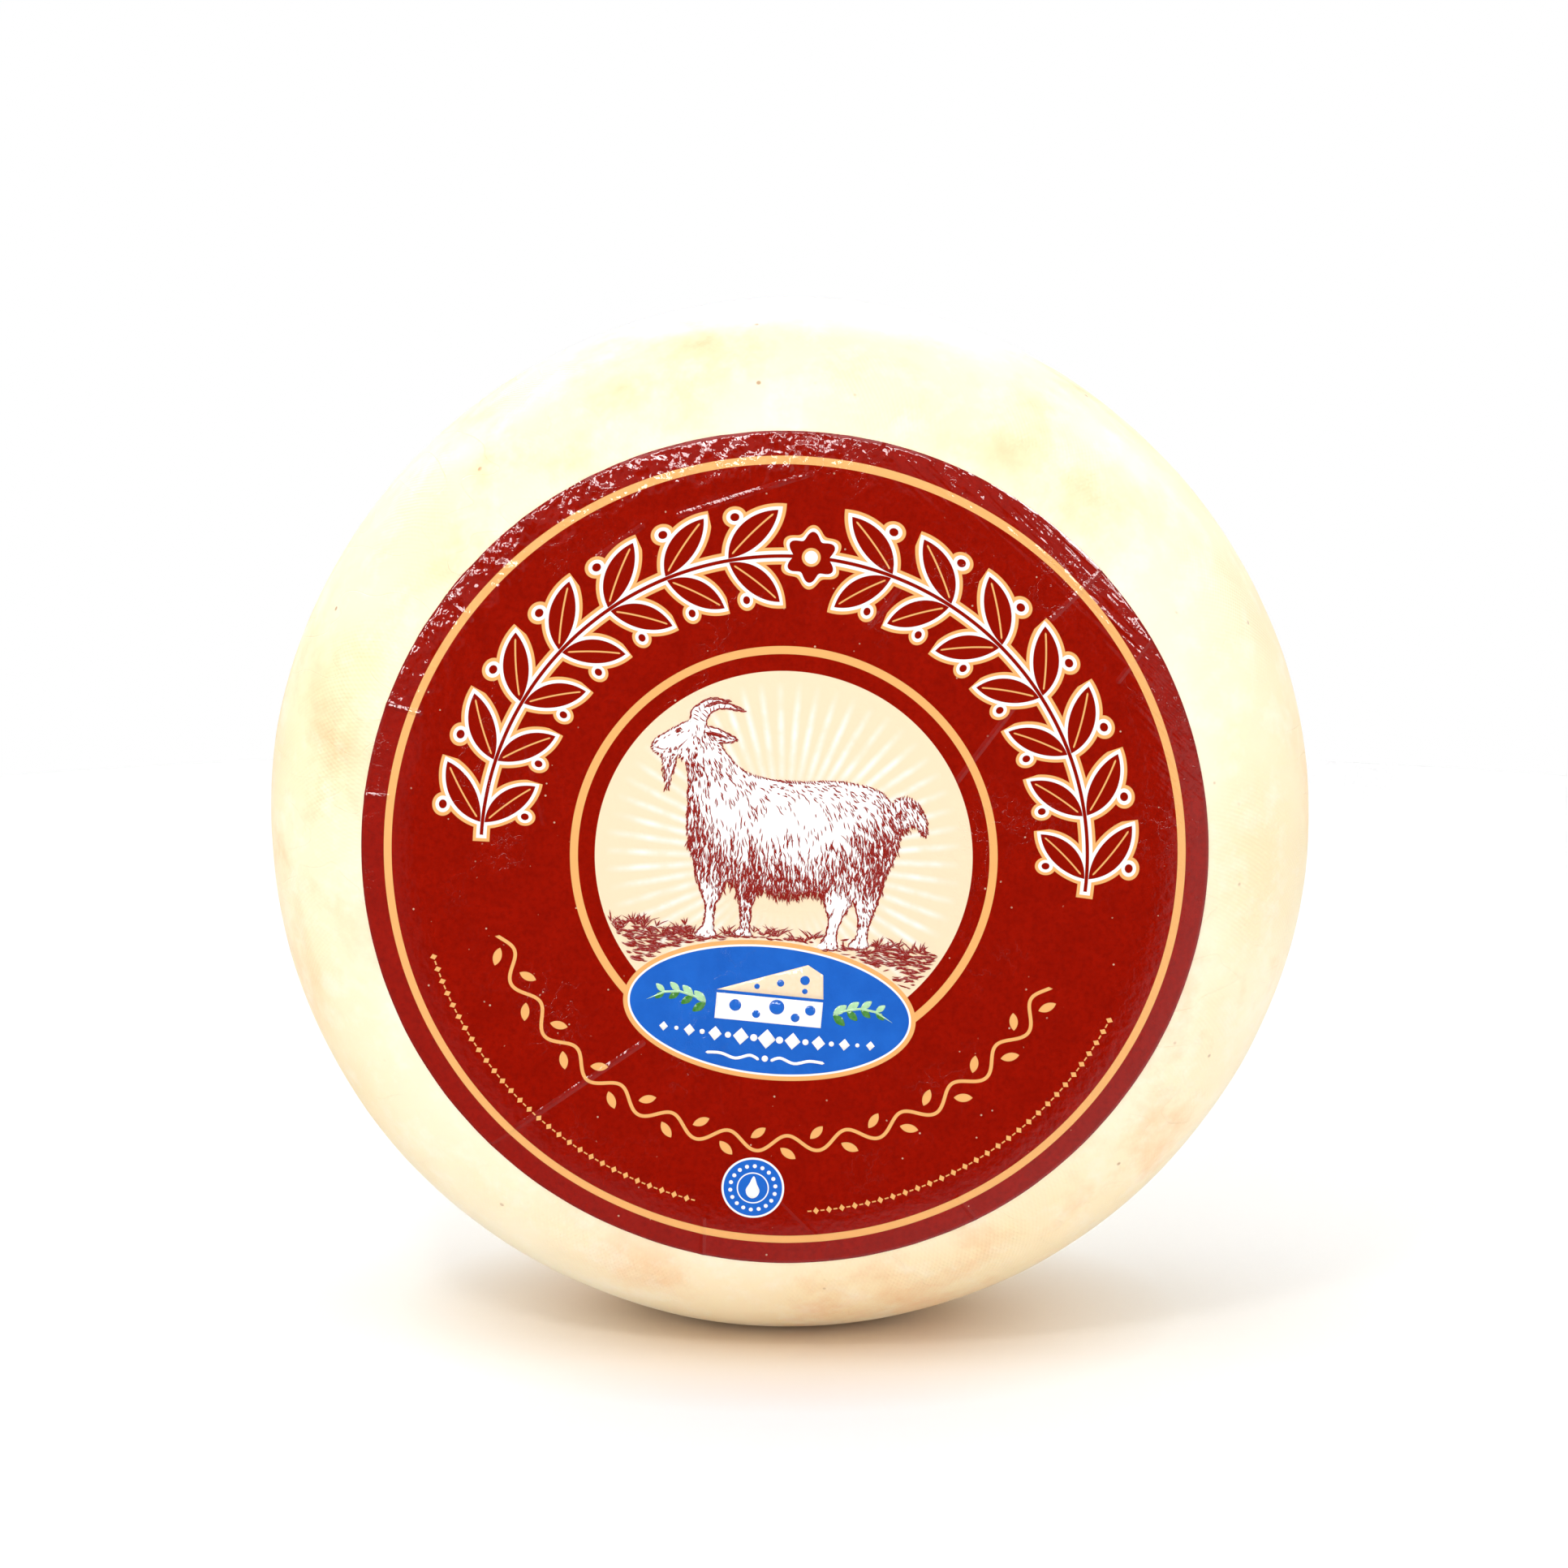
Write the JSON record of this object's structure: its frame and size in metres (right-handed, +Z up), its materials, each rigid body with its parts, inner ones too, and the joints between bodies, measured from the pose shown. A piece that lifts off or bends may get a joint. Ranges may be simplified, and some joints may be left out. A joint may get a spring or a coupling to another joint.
{
  "type": "cheese wheel",
  "caption": "Whole round wheel of pale semi-hard cheese with a full, rounded rim and a round printed paper label on one face, standing on its rim.",
  "frame": {"origin": "on the surface the wheel stands on, under the middle of its bounding box", "axes": "+Y along the wheel's axis, away from the labelled face; +Z up, towards the top of the label; +X to the right of someone who looks at the label"},
  "size_m": [0.27, 0.1066, 0.268],
  "materials": {
    "rind": "satin, a thin waxy coating over pale cream cheese",
    "label_paper": "glossy printed paper, wrinkled, dark red with thin gold rings"
  },
  "bodies": {
    "root": {"cheese_wheel": "rind", "label": "label_paper"}
  },
  "joints": []
}
